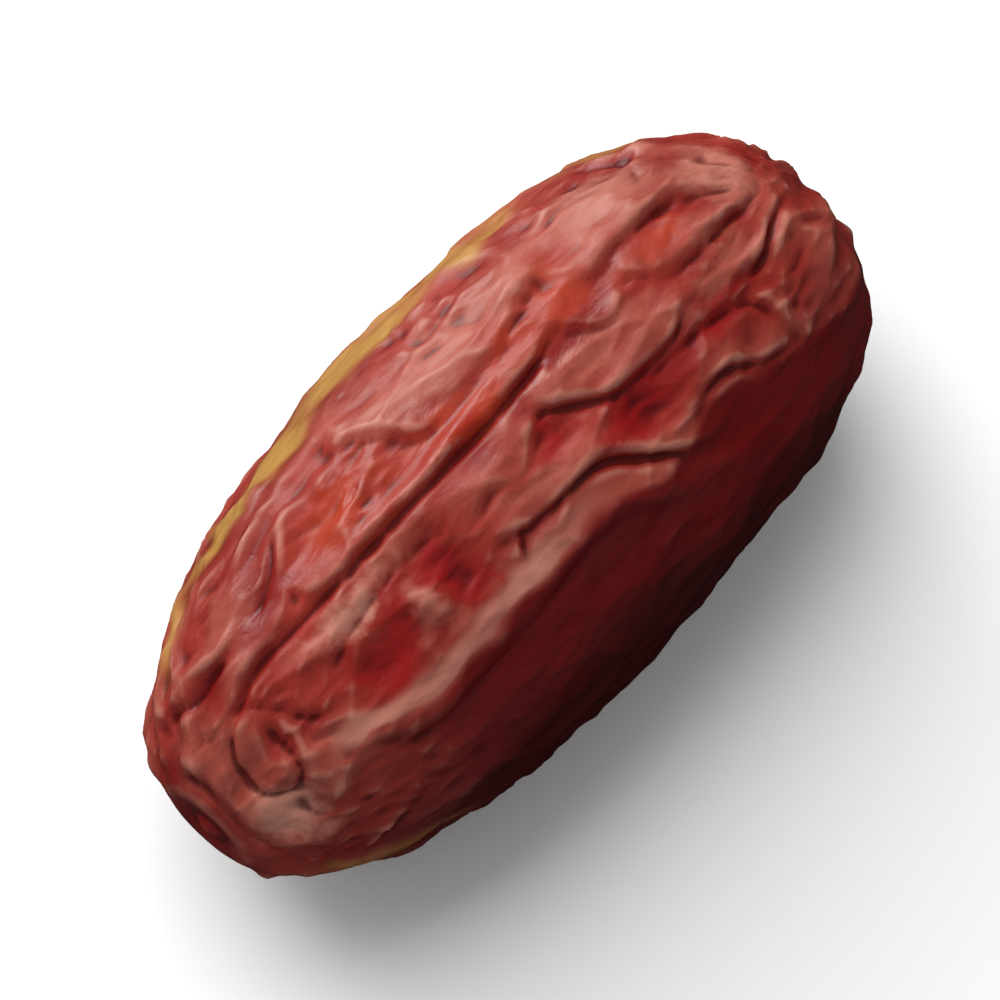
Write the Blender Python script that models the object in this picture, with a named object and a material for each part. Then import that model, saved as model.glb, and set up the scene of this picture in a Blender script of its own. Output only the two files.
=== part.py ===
"""A dried date, one whole fruit lying on its side, in metres.

The long axis runs along X, from the stem end at -X to the pointed end at +X, and Z is up. The origin
is under the middle of the fruit, on the surface that it lies on. The fruit grew as one piece, so it is
one closed solid: a plump body turned from a rounded profile, whose dried skin stands up in long folds
with creases beside them, and which has settled on a small flat spot.
"""

import math

import bmesh
import bpy
import numpy as np

MM = 0.001

# The body, before its skin folds
LENGTH = 47.6 * MM
WIDTH = 21.9 * MM
HEIGHT = 21.4 * MM
STEM_END_ROUNDNESS = 2.15
TIP_END_ROUNDNESS = 2.8
BOW = 0.5 * MM
SETTLED = 0.55 * MM

# The skin is shaped on a fine net, then thinned where it is smooth, to about this many triangles
SIDES = 320
RINGS = 200
TRIANGLES = 11500

# The side with the long folds faces up and a little to the front. Its folds are laid out flat, as seen
# from square to that side with the stem end leaning nearer.
FACE_TURN = math.radians(13.6)
SIDE_TURN = math.radians(120.0)
LEAN = math.radians(14.8)
SPAN_STEPS = 4
FOLD_FADE = 1.8 * MM
CREST_ROUNDING = 0.15 * MM
FOLD_POWERS = (1.0, 1.6)
CREASE_POWERS = (1.8, 1.8)
UNEVEN_LENGTH = 4.0 * MM

# Each fold: its height, how far it slopes off above and below its crest, and the points of the crest,
# in millimetres along the fruit from its middle and across it
FACE_FOLDS = (
    (0.26, 1.8, 0.9, ((-15.6, 8.1), (-12.1, 8.1), (-9.2, 8.4), (-7.3, 8.8), (-4.2, 9.0), (-1.0, 9.0),
                      (2.0, 8.6))),
    (0.30, 1.2, 0.8, ((-21.0, 5.3), (-19.6, 5.6), (-18.1, 5.7), (-16.7, 5.5), (-15.0, 5.5), (-13.6, 5.6))),
    (0.35, 1.3, 0.7, ((-20.2, 3.2), (-19.0, 3.1), (-17.5, 3.3), (-16.2, 3.9), (-15.0, 4.1), (-12.9, 4.3),
                      (-11.6, 4.7), (-11.0, 5.2), (-10.2, 4.4), (-9.0, 4.0), (-7.1, 3.95), (-1.0, 3.95),
                      (4.0, 4.0), (6.9, 4.05), (8.0, 4.5), (9.4, 4.5), (10.25, 3.7), (11.2, 2.8),
                      (12.3, 2.9), (13.0, 3.7), (13.6, 4.4))),
    (0.34, 2.1, 0.9, ((-11.2, 5.0), (-10.6, 5.8), (-9.2, 7.0), (-8.3, 7.6), (-6.5, 8.1))),
    (0.46, 3.8, 1.0, ((-4.8, 8.4), (-2.6, 8.0), (-1.0, 7.0), (0.0, 5.9), (1.1, 5.6), (3.2, 5.8), (6.7, 6.1),
                      (8.4, 6.6), (10.2, 7.0), (11.5, 6.1), (12.7, 5.3), (15.7, 5.2), (17.7, 5.3),
                      (19.0, 5.0), (20.5, 3.8), (21.5, 2.7), (22.6, 1.7))),
    (0.38, 1.8, 0.7, ((13.2, 4.6), (14.4, 3.4), (15.5, 2.7), (16.9, 2.45), (19.8, 2.4), (22.4, 2.1))),
    (0.50, 3.0, 0.9, ((4.6, 2.3), (5.7, 2.2), (6.9, 1.3), (8.4, 0.5), (9.8, 0.0), (11.5, -0.1), (13.4, 0.0),
                      (14.4, 0.7), (15.7, 1.6))),
    (0.34, 1.7, 0.8, ((-3.6, 1.9), (-2.9, 0.8), (-1.9, 0.5), (-0.2, 1.2), (0.9, 1.0), (2.1, 0.4),
                      (3.2, 1.1), (4.2, 1.8), (5.2, 2.3))),
    (0.50, 2.4, 0.8, ((-1.6, -0.3), (-0.6, -1.0), (0.3, -1.3), (1.7, -1.6), (4.2, -1.6), (5.3, -1.6),
                      (6.4, -1.9), (7.4, -2.9), (8.3, -3.8), (9.8, -4.7), (11.4, -5.3))),
    (0.58, 3.2, 1.1, ((-18.0, -3.8), (-16.7, -3.5), (-15.2, -3.0), (-13.3, -3.1), (-12.1, -3.9),
                      (-10.4, -4.5), (-7.1, -4.7), (-4.2, -4.5), (-1.5, -4.5), (1.1, -4.2), (3.2, -4.2),
                      (4.8, -4.3), (5.9, -5.1), (6.9, -5.9), (8.4, -6.5))),
    (0.36, 1.0, 0.8, ((3.4, -8.2), (5.2, -7.4), (7.3, -6.8), (9.6, -6.6), (11.6, -6.9))),
    (0.40, 2.0, 0.8, ((9.6, -3.9), (10.6, -3.5), (11.6, -3.2), (13.2, -3.0), (14.4, -3.3), (15.7, -4.1),
                      (17.8, -4.5))),
    (0.30, 1.0, 0.7, ((17.9, -1.2), (18.1, -2.4), (18.2, -3.9), (18.7, -6.0))),
    (0.32, 1.2, 0.6, ((18.6, -0.7), (19.8, -0.3), (21.5, 0.5), (22.8, 1.2))),
    (0.32, 1.0, 0.6, ((19.4, -1.6), (21.1, -0.6), (22.5, -0.4), (23.6, -1.1), (23.9, -2.4))),
    (0.24, 0.6, 0.5, ((20.0, -4.8), (21.5, -4.4), (23.2, -3.9))),
    (0.28, 1.7, 0.9, ((3.4, 8.4), (4.4, 9.2), (5.9, 10.1), (7.6, 10.1), (9.4, 9.4), (10.2, 8.2),
                      (11.0, 7.2))),
    (0.22, 0.8, 0.7, ((1.2, 9.3), (2.4, 8.9), (3.6, 8.1), (5.4, 7.9))),
    (0.30, 1.7, 1.0, ((11.4, 10.2), (13.5, 10.3), (16.0, 9.3), (18.5, 8.2), (20.3, 6.8), (21.8, 5.2),
                      (22.6, 2.6))),
    (0.22, 0.8, 0.7, ((12.0, 8.6), (14.4, 8.6), (16.4, 7.8), (18.0, 6.6))),
    (0.30, 1.5, 0.9, ((-21.2, 3.6), (-21.3, 1.0), (-21.2, -1.6), (-20.6, -3.4), (-19.6, -4.2))),
    (0.28, 0.8, 0.7, ((-16.6, 2.2), (-16.2, 0.6), (-16.4, -1.0), (-17.4, -2.6), (-18.6, -3.0))),
    (0.24, 1.4, 0.9, ((-18.4, -6.4), (-15.6, -7.3), (-12.4, -8.2), (-9.5, -8.6), (-5.5, -8.4))),
    (0.22, 1.2, 0.8, ((-6.8, 0.9), (-6.4, -0.6), (-5.4, -2.0), (-3.9, -3.2))),
)

# Each crease: its depth, how far it slopes off above and below, and its points
FACE_CREASES = (
    (0.22, 1.0, 0.9, ((-14.4, 7.4), (-11.4, 7.6), (-9.0, 7.9), (-6.0, 8.3), (-2.8, 8.3))),
    (0.37, 0.7, 1.1, ((-13.8, 5.2), (-12.6, 5.7), (-11.3, 6.2), (-10.2, 6.9), (-9.0, 7.9))),
    (0.41, 0.5, 1.1, ((-18.6, 2.6), (-17.1, 2.9), (-16.0, 3.3), (-14.4, 3.6), (-11.7, 3.5), (-7.3, 3.4),
                      (-1.0, 3.4), (4.0, 3.4), (7.2, 3.6), (8.4, 3.9))),
    (0.26, 0.7, 0.6, ((-21.6, 5.0), (-20.0, 5.0), (-18.8, 4.7), (-17.0, 4.9), (-14.6, 4.9))),
    (0.16, 0.9, 1.2, ((-6.5, 5.1), (-3.0, 5.0), (1.0, 4.9), (5.0, 5.0), (7.6, 5.3))),
    (0.26, 0.6, 0.5, ((12.7, 4.8), (14.2, 4.9), (16.5, 4.8), (19.0, 4.4))),
    (0.33, 0.5, 1.1, ((14.8, 2.1), (15.7, 1.8), (17.3, 1.65), (19.8, 1.75), (22.5, 1.6))),
    (0.41, 0.5, 1.1, ((4.2, 1.2), (5.2, 1.6), (6.2, 1.2), (7.4, 0.4), (8.9, -0.4), (11.0, -0.6),
                      (13.2, -0.5), (14.8, 0.5))),
    (0.44, 0.5, 1.1, ((-1.3, -3.9), (-0.9, -2.7), (-0.2, -1.8), (0.3, -1.9), (2.1, -2.0), (4.2, -2.05),
                      (5.9, -2.5), (7.2, -3.6), (9.3, -5.0))),
    (0.30, 0.8, 1.1, ((-13.6, -4.4), (-10.5, -5.2), (-7.0, -5.4), (-3.0, -5.3), (1.5, -4.9), (4.4, -4.9))),
    (0.30, 0.5, 0.6, ((10.4, -4.2), (12.5, -3.6), (14.2, -3.7), (15.6, -4.7), (18.0, -5.0))),
    (0.30, 0.6, 0.5, ((10.2, -0.9), (11.3, -1.1), (13.6, -1.2), (15.2, -1.3), (16.7, -1.7), (17.7, -2.4),
                      (17.8, -4.4))),
    (0.30, 0.5, 0.5, ((17.6, -1.3), (19.4, -1.0), (20.6, -0.4), (21.9, 0.4), (23.2, 0.4))),
    (0.30, 0.6, 0.5, ((-22.0, 3.2), (-21.9, 0.5), (-22.0, -1.6), (-21.3, -4.6))),
    (0.33, 0.5, 1.1, ((-17.6, 2.5), (-18.7, 2.2), (-19.7, 1.1), (-20.0, -0.3), (-19.4, -1.4), (-18.3, -2.0),
                      (-17.2, -1.3), (-17.2, 0.5), (-17.3, 2.2))),
    (0.33, 0.5, 1.1, ((-17.4, 2.9), (-16.2, 1.8), (-15.6, 0.5), (-14.6, -0.5), (-13.0, -0.6))),
    (0.26, 1.0, 0.9, ((14.4, 10.4), (16.5, 9.0), (18.8, 7.6), (20.4, 6.2))),
    (0.22, 0.5, 0.5, ((1.8, 7.6), (3.2, 8.0), (5.2, 7.7))),
    (0.22, 0.5, 0.5, ((12.3, 8.1), (13.6, 8.4), (15.0, 8.1))),
    (0.22, 0.5, 0.5, ((-17.0, -4.5), (-16.2, -5.0), (-15.2, -5.3))),
    (0.22, 0.5, 0.5, ((-18.6, -2.0), (-18.8, -3.4), (-18.0, -4.4))),
    (0.26, 0.7, 0.9, ((-13.2, 0.4), (-10.4, 1.2), (-7.3, 1.6), (-3.5, 1.5), (-2.6, 0.3))),
    (0.22, 0.5, 0.5, ((19.4, -2.4), (20.6, -2.3), (22.0, -1.6))),
)

# Each hollow: depth, place along and across, and half sizes, in millimetres
FACE_HOLLOWS = (
    (0.60, -10.0, -0.9, 2.6, 1.3),
    (0.50, -4.0, -0.6, 1.6, 1.5),
    (0.50, 9.2, -1.9, 2.2, 1.3),
    (0.35, 5.3, 0.4, 1.6, 0.9),
    (0.35, -7.5, 6.3, 3.0, 1.0),
    (0.35, 3.0, -6.8, 3.2, 1.1),
    (-0.30, -6.2, -0.9, 1.0, 1.2),
    (-0.35, 22.0, -2.6, 2.2, 2.4),
)

# The skin all over: a net of low folds, and sinuous small folds, both drawn out along the fruit
NET_CELLS = 210
NET_HEIGHT = 0.45 * MM
NET_REACH = 2.2 * MM
NET_STRETCH = np.array((2.4, 1.0, 1.0))
NET_BEND = 0.8 * MM
NET_BEND_LENGTH = 4.0 * MM
NET_POWER = 1.3
WAVE_HEIGHT = 0.20 * MM
WAVE_LENGTHS = np.array((8.5, 3.0, 3.0)) * MM
WAVER = 1.3 * MM
WAVER_LENGTH = 7.0 * MM
PUCKERS = 11
PUCKER_HEIGHT = 0.30 * MM
NOISE_SEED = 7

# The stem scar, a shallow round pit with a rim and the end of the stalk's fibres
SCAR_RADIUS = 2.5 * MM
SCAR_DEPTH = 0.45 * MM
SCAR_RIM = 0.22 * MM
SCAR_NUB = 0.35 * MM


def smoothstep(low, high, value):
    """0 below low, 1 above high, and an S-shaped rise between."""
    share = np.clip((value - low) / (high - low), 0.0, 1.0)
    return share * share * (3.0 - 2.0 * share)


def body_profile():
    """Points of half the body's outline from the stem end to the tip: (distance run, x, radius).

    Each half is a superellipse, |x|^n + r^n = 1, whose n says how full that end is.
    """
    turn = np.linspace(0.0, math.pi, 4001)
    fullness = np.where(turn < math.pi / 2, STEM_END_ROUNDNESS, TIP_END_ROUNDNESS)
    along = -np.sign(np.cos(turn)) * np.abs(np.cos(turn)) ** (2.0 / fullness) * LENGTH / 2
    radius = np.abs(np.sin(turn)) ** (2.0 / fullness) * WIDTH / 2
    run = np.concatenate(((0.0,), np.cumsum(np.hypot(np.diff(along), np.diff(radius)))))
    return run, along, radius


RUN, ALONG, RADIUS = body_profile()
RUN_LENGTH = RUN[-1]


def gradient_noise(points, seed):
    """Smooth noise of about -1 to 1 at points in space: at each corner of a unit lattice a random
    direction is dotted with the way to the point, and the eight results are blended."""
    draw = np.random.default_rng(seed)
    order = draw.permutation(256)
    directions = draw.normal(size=(256, 3))
    directions /= np.linalg.norm(directions, axis=1, keepdims=True)
    cell = np.floor(points).astype(int)
    inside = points - cell
    blend = inside ** 3 * (inside * (inside * 6.0 - 15.0) + 10.0)
    total = np.zeros(points.shape[:-1])
    for corner in np.ndindex(2, 2, 2):
        spot = cell + corner
        pick = order[(order[(order[spot[..., 0] % 256] + spot[..., 1]) % 256] + spot[..., 2]) % 256]
        weight = np.prod(np.where(np.array(corner) == 1, blend, 1.0 - blend), axis=-1)
        total += weight * np.sum(directions[pick] * (inside - corner), axis=-1)
    return total * 1.6


def smooth_line(points):
    """A Catmull-Rom curve through points, with a few steps in each span."""
    ends = np.concatenate((2 * points[:1] - points[1:2], points, 2 * points[-1:] - points[-2:-1]))
    t = np.linspace(0.0, 1.0, SPAN_STEPS, endpoint=False)[:, None, None]
    a, b, c, d = ends[:-3], ends[1:-2], ends[2:-1], ends[3:]
    spans = b + 0.5 * ((c - a) * t + (2 * a - 5 * b + 4 * c - d) * t ** 2 + (3 * b - a - 3 * c + d) * t ** 3)
    return np.concatenate((spans.swapaxes(0, 1).reshape(-1, 2), points[-1:]))


def skin_point(run, angle):
    """The smooth body's surface: its outline turned round a slightly bowed centre line."""
    along = np.interp(run, RUN, ALONG)
    radius = np.interp(run, RUN, RADIUS)
    bow = BOW * (1.0 - (2.0 * along / LENGTH) ** 2)
    return np.stack((along, bow - radius * np.sin(angle), radius * np.cos(angle) * HEIGHT / WIDTH), axis=-1)


def on_skin(points, face_turn):
    """Points of the flat layout, in millimetres along and across, as places on the skin: (distance run,
    angle). With the stem end leaning nearer by LEAN, a point at a height h over the middle shows
    tan(LEAN) * h further along. The first place on the outline that shows far enough is taken, and the
    angle is the arc sine of the distance across over the radius there."""
    along, across = np.array(points).T[:, :, None] * MM
    height = np.sqrt(np.maximum(RADIUS ** 2 - across ** 2, 0.0))
    shown = ALONG + math.tan(LEAN) * height
    place = np.argmax(shown >= np.minimum(along, shown.max(axis=1, keepdims=True)), axis=1)
    radius = np.maximum(RADIUS[place], 0.2 * MM)
    angle = face_turn - np.arcsin(np.clip(across[:, 0] / radius, -0.99, 0.99))
    return np.stack((RUN[place], angle), axis=1)


def line_shape(run, angle, line, above, below, powers):
    """1 on a line over the skin, falling off as (1 - distance / reach) ^ power, with one reach and power
    above the line and another below it, rounded at the crest, and fading out towards both ends."""
    radius = np.interp(run, RUN, RADIUS)
    nearest = np.full(run.shape, np.inf)
    reached = np.zeros(run.shape)
    over = np.zeros(run.shape, bool)
    done = 0.0
    for start, end in zip(line[:-1], line[1:]):
        step_run = end[0] - start[0]
        step_side = (end[1] - start[1]) * radius
        off_run = run - start[0]
        off_side = ((angle - start[1] + math.pi) % (2 * math.pi) - math.pi) * radius
        share = (off_run * step_run + off_side * step_side) / (step_run ** 2 + step_side ** 2 + 1e-14)
        share = np.clip(share, 0.0, 1.0)
        gap = np.hypot(off_run - share * step_run, off_side - share * step_side)
        closer = gap < nearest
        length = math.hypot(step_run, (end[1] - start[1]) * np.interp(start[0], RUN, RADIUS))
        reached = np.where(closer, done + share * length, reached)
        over = np.where(closer, off_side * step_run < off_run * step_side, over)
        nearest = np.minimum(nearest, gap)
        done += length
    fade = min(FOLD_FADE, 0.45 * done)
    ends = smoothstep(0.0, fade, reached) * smoothstep(0.0, fade, done - reached)
    rounded = np.hypot(nearest, CREST_ROUNDING) - CREST_ROUNDING
    share = np.clip(1.0 - rounded / np.where(over, above, below), 0.0, 1.0)
    return ends * share ** np.where(over, *powers)


def highest_of(run, angle, lines, powers, face_turn):
    """The lines' shapes joined by a soft maximum, the fourth root of the sum of fourth powers."""
    total = np.zeros(run.shape)
    for height, above, below, points in lines:
        line = smooth_line(on_skin(points, face_turn))
        total += (height * line_shape(run, angle, line, above * MM, below * MM, powers)) ** 4
    return total ** 0.25


def face_relief(run, angle, face_turn):
    """Folds less creases less hollows on one side of the fruit, in metres: a hollow is a bell curve."""
    folds = highest_of(run, angle, FACE_FOLDS, FOLD_POWERS, face_turn)
    creases = highest_of(run, angle, FACE_CREASES, CREASE_POWERS, face_turn)
    uneven = 0.85 + 0.50 * gradient_noise(skin_point(run, angle) / UNEVEN_LENGTH, NOISE_SEED + 3)
    height = (folds - creases) * uneven
    radius = np.interp(run, RUN, RADIUS)
    for depth, along, across, half_length, half_width in FACE_HOLLOWS:
        (middle_run, middle_angle), = on_skin(((along, across),), face_turn)
        side = ((angle - middle_angle + math.pi) % (2 * math.pi) - math.pi) * radius
        off = np.hypot((run - middle_run) / (half_length * MM), side / (half_width * MM))
        height = height - depth * np.exp(-off ** 2)
    return height * MM


def fold_net(run, angle, seed):
    """A net of low folds round cells drawn out along the fruit, 1 on the folds and 0 in the cells. Cell
    centres are scattered over the body, and a fold runs where the two nearest are equally far: it is
    (1 - (second distance - first distance) / NET_REACH) ^ NET_POWER."""
    draw = np.random.default_rng(seed)
    centre_run = RUN_LENGTH * draw.uniform(0.01, 0.99, NET_CELLS)
    centres = skin_point(centre_run, draw.uniform(-math.pi, math.pi, NET_CELLS)) / NET_STRETCH
    body = skin_point(run, angle)
    bend = np.stack([gradient_noise(body / NET_BEND_LENGTH, seed + step) for step in (1, 2, 3)], axis=-1)
    body = (body + NET_BEND * bend) / NET_STRETCH
    first = np.full(run.shape, np.inf)
    second = np.full(run.shape, np.inf)
    for centre in centres:
        distance = np.sqrt(np.sum((body - centre) ** 2, axis=-1))
        second = np.minimum(second, np.maximum(first, distance))
        first = np.minimum(first, distance)
    return np.clip(1.0 - (second - first) / NET_REACH, 0.0, 1.0) ** NET_POWER


def relief(run, angle):
    """How far the dried skin stands out of the body, in metres: the folds of the face, the same bent out
    of true on two more sides, one the other way round and one mirrored, a net of lower folds between them,
    ridged noise drawn out along the fruit, puckers round both ends, and the scar."""
    body = skin_point(run, angle)
    waver = WAVER * gradient_noise(body / WAVER_LENGTH, NOISE_SEED)
    waver_side = WAVER * gradient_noise(body / WAVER_LENGTH, NOISE_SEED + 1)
    radius = np.maximum(np.interp(run, RUN, RADIUS), 2.0 * MM)
    face = face_relief(run, angle, FACE_TURN)
    turned = face_relief(RUN_LENGTH - (run + 2.0 * waver), angle + 2.0 * waver_side / radius,
                         FACE_TURN + SIDE_TURN)
    mirrored = face_relief(run + 2.0 * waver_side, -(angle + 2.0 * waver / radius), SIDE_TURN - FACE_TURN)
    share = run / RUN_LENGTH
    middle = smoothstep(0.05, 0.18, share) * smoothstep(0.05, 0.18, 1.0 - share)

    facing = np.cos(angle - FACE_TURN)
    away = 0.55 + 0.45 * smoothstep(0.15, -0.45, facing)
    wrinkle = 1.0 - 2.2 * np.abs(gradient_noise((body + waver[..., None]) / WAVE_LENGTHS, NOISE_SEED + 2))
    waves = WAVE_HEIGHT * wrinkle * away
    net = fold_net(run, angle, NOISE_SEED + 10)

    from_tip = RUN_LENGTH - run
    near_end = np.minimum(run, from_tip)
    gathered = smoothstep(2.0 * MM, 4.5 * MM, near_end) * smoothstep(13.0 * MM, 6.0 * MM, near_end)
    puckers = PUCKER_HEIGHT * np.cos(PUCKERS * angle + 2.2 * waver / MM) * gathered * away

    pit = -SCAR_DEPTH * smoothstep(SCAR_RADIUS, 0.4 * SCAR_RADIUS, run)
    rim = SCAR_RIM * np.exp(-((run - 1.15 * SCAR_RADIUS) / (0.25 * SCAR_RADIUS)) ** 2)
    nub = SCAR_NUB * np.exp(-(run / (0.3 * SCAR_RADIUS)) ** 2)
    skin = smoothstep(SCAR_RADIUS, 2.0 * SCAR_RADIUS, run) * smoothstep(0.0, 2.5 * MM, from_tip)
    pressed = 1.0 - 0.7 * smoothstep(0.90, 0.99, -np.cos(angle)) * middle
    sides = 0.70 * (turned + mirrored) * middle
    height = (face + sides + waves + NET_HEIGHT * net * away + puckers) * skin * pressed
    return height + pit + rim + nub


def skin_normal(run, angle):
    """Outward unit normals of the smooth body, by small steps along and round it."""
    step = 0.02 * MM
    run = np.clip(run, 4 * step, RUN_LENGTH - 4 * step)
    lengthwise = skin_point(run + step, angle) - skin_point(run - step, angle)
    round_it = skin_point(run, angle + 0.001) - skin_point(run, angle - 0.001)
    normal = np.cross(round_it, lengthwise)
    return normal / np.linalg.norm(normal, axis=-1, keepdims=True)


def flesh_material():
    """Dried date skin: dark red-brown, with a soft gloss."""
    material = bpy.data.materials.new("date_skin")
    material.use_nodes = True
    shader = material.node_tree.nodes["Principled BSDF"]
    shader.inputs["Base Color"].default_value = (0.13, 0.018, 0.010, 1.0)
    shader.inputs["Roughness"].default_value = 0.38
    shader.inputs["Metallic"].default_value = 0.0
    return material


def folded_skin():
    """A closed mesh reshaped from a sphere, whose poles become the fruit's two ends."""
    mesh = bpy.data.meshes.new("date_fruit")
    shape = bmesh.new()
    bmesh.ops.create_uvsphere(shape, u_segments=SIDES, v_segments=RINGS, radius=1.0)
    bmesh.ops.triangulate(shape, faces=shape.faces)
    shape.to_mesh(mesh)
    shape.free()

    sphere = np.empty(len(mesh.vertices) * 3)
    mesh.vertices.foreach_get("co", sphere)
    sphere = sphere.reshape(-1, 3)
    run = np.arccos(np.clip(-sphere[:, 2], -1.0, 1.0)) / math.pi * RUN_LENGTH
    angle = np.arctan2(-sphere[:, 0], sphere[:, 1])
    points = skin_point(run, angle) + relief(run, angle)[:, None] * skin_normal(run, angle)
    mesh.vertices.foreach_set("co", points.ravel())
    mesh.update()
    return mesh


def thinned(date):
    """The object's mesh with its smooth stretches made of fewer, larger triangles."""
    thin = date.modifiers.new("thin", "DECIMATE")
    thin.ratio = TRIANGLES / len(date.data.polygons)
    graph = bpy.context.evaluated_depsgraph_get()
    mesh = bpy.data.meshes.new_from_object(date.evaluated_get(graph))
    date.modifiers.remove(thin)
    return mesh


def settle(mesh):
    """Presses the underside flat at z = 0, and puts the origin under the middle of the fruit."""
    points = np.empty(len(mesh.vertices) * 3)
    mesh.vertices.foreach_get("co", points)
    points = points.reshape(-1, 3)
    floor = points[:, 2].min() + SETTLED
    points[:, 2] = np.maximum(points[:, 2], floor) - floor
    points[:, :2] -= (points[:, :2].min(axis=0) + points[:, :2].max(axis=0)) / 2
    mesh.vertices.foreach_set("co", points.ravel())
    mesh.update()


def make_date(collection):
    """The whole fruit, one closed solid."""
    date = bpy.data.objects.new("date_fruit", folded_skin())
    collection.objects.link(date)
    date.data = thinned(date)
    settle(date.data)
    date.data.shade_smooth()
    date.data.materials.append(flesh_material())


def main():
    for obj in list(bpy.data.objects):
        bpy.data.objects.remove(obj, do_unlink=True)
    collection = bpy.data.collections.new("date_fruit")
    bpy.context.scene.collection.children.link(collection)
    make_date(collection)


main()
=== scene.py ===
"""The looks of a dried date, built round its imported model. Lengths are in metres, Z is up.

The fruit lies along X with its stem end at -X. Its skin is one surface of two parameters, how far along
the skin from the stem end and the angle round the fruit, and everything on it is worked out from those.
"""

import math

import bpy
import numpy as np
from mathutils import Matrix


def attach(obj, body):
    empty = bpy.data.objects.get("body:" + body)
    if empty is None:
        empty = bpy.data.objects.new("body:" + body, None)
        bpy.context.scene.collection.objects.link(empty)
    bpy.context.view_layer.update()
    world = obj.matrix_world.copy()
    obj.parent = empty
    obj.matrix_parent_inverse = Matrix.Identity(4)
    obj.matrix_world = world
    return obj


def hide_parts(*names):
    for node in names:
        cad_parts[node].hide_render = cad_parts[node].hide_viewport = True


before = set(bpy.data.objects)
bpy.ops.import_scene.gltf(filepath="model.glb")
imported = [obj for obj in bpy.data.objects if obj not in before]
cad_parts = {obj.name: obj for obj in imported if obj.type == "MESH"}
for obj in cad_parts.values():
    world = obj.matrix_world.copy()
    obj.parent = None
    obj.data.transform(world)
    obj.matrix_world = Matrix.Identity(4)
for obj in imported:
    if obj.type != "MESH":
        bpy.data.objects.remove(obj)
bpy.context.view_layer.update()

# The camera
# It looks down on the fruit so that the long axis runs from the lower left to the upper right, as the
# date in the picture does, with the folded face square to the view.
CAMERA_TURN = math.radians(-48.4)
CAMERA_HEIGHT_ANGLE = math.radians(70.0)
CAMERA_DISTANCE = 0.5
CAMERA_LENS = 339.0
LOOK_AT = np.array((0.0, 0.0, 0.0105))

toward_camera = np.array((
    math.sin(CAMERA_TURN) * math.cos(CAMERA_HEIGHT_ANGLE),
    -math.cos(CAMERA_TURN) * math.cos(CAMERA_HEIGHT_ANGLE),
    math.sin(CAMERA_HEIGHT_ANGLE),
))
camera_data = bpy.data.cameras.new("camera")
camera_data.lens = CAMERA_LENS
camera_data.sensor_width = 36.0
camera_data.clip_start = 0.01
camera = bpy.data.objects.new("camera", camera_data)
bpy.context.scene.collection.objects.link(camera)
camera.location = LOOK_AT + CAMERA_DISTANCE * toward_camera
camera.rotation_euler = (math.pi / 2 - CAMERA_HEIGHT_ANGLE, 0.0, CAMERA_TURN)
bpy.context.scene.camera = camera

# The body of the fruit
# Under the folds a date is a plump oblong, a little fuller at its tip than at its stem end, and very
# slightly bowed. It is a superellipse turned round its long axis.
MM = 0.001
LENGTH = 47.6 * MM
WIDTH = 21.9 * MM
HEIGHT = 21.4 * MM
STEM_END_ROUNDNESS = 2.15
TIP_END_ROUNDNESS = 2.8
BOW = 0.5 * MM
SETTLED = 0.55 * MM


def body_profile():
    """Half the body's outline from stem end to tip as (distance run, x, radius): each half is a
    superellipse, |x|^n + r^n = 1, whose n says how full that end is."""
    turn = np.linspace(0.0, math.pi, 4001)
    fullness = np.where(turn < math.pi / 2, STEM_END_ROUNDNESS, TIP_END_ROUNDNESS)
    along = -np.sign(np.cos(turn)) * np.abs(np.cos(turn)) ** (2.0 / fullness) * LENGTH / 2
    radius = np.abs(np.sin(turn)) ** (2.0 / fullness) * WIDTH / 2
    run = np.concatenate(((0.0,), np.cumsum(np.hypot(np.diff(along), np.diff(radius)))))
    return run, along, radius


RUN, ALONG, RADIUS = body_profile()
RUN_LENGTH = RUN[-1]


def body_point(run, angle):
    """The outline turned round a centre line that bows as a parabola: x from the outline, y and z from
    the sine and cosine of the angle times the outline's radius."""
    along = np.interp(run, RUN, ALONG)
    radius = np.interp(run, RUN, RADIUS)
    bow = BOW * (1.0 - (2.0 * along / LENGTH) ** 2)
    return np.stack((along, bow - radius * np.sin(angle), radius * np.cos(angle) * HEIGHT / WIDTH), axis=-1)


def body_normal(run, angle):
    """Outward unit normals: the cross product of a small step round the body and one along it."""
    step = 0.02 * MM
    run = np.clip(run, 4 * step, RUN_LENGTH - 4 * step)
    lengthwise = body_point(run + step, angle) - body_point(run - step, angle)
    round_it = body_point(run, angle + 0.001) - body_point(run, angle - 0.001)
    normal = np.cross(round_it, lengthwise)
    return normal / np.linalg.norm(normal, axis=-1, keepdims=True)


# The folds of the skin
# As the flesh dries and shrinks, the thin skin no longer fits it and stands up in long sharp folds, with
# creases at their feet and smooth facets and hollows between them. They gather towards both ends.
FACE_TURN = math.radians(13.6)
SIDE_TURN = math.radians(120.0)
LEAN = math.radians(14.8)
SPAN_STEPS = 4
FOLD_FADE = 1.8 * MM
CREST_ROUNDING = 0.10 * MM
FOLD_POWERS = (1.0, 1.8)
CREASE_POWERS = (1.8, 1.8)
NET_POWER = 1.3
UNEVEN_MEAN = 0.85
UNEVEN_SWING = 0.50
UNEVEN_LENGTH = 4.0 * MM
SIDE_FOLDS_SHARE = 0.70
FACE_NET_SHARE = 0.55
PRESSED_SHARE = 0.7

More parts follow.
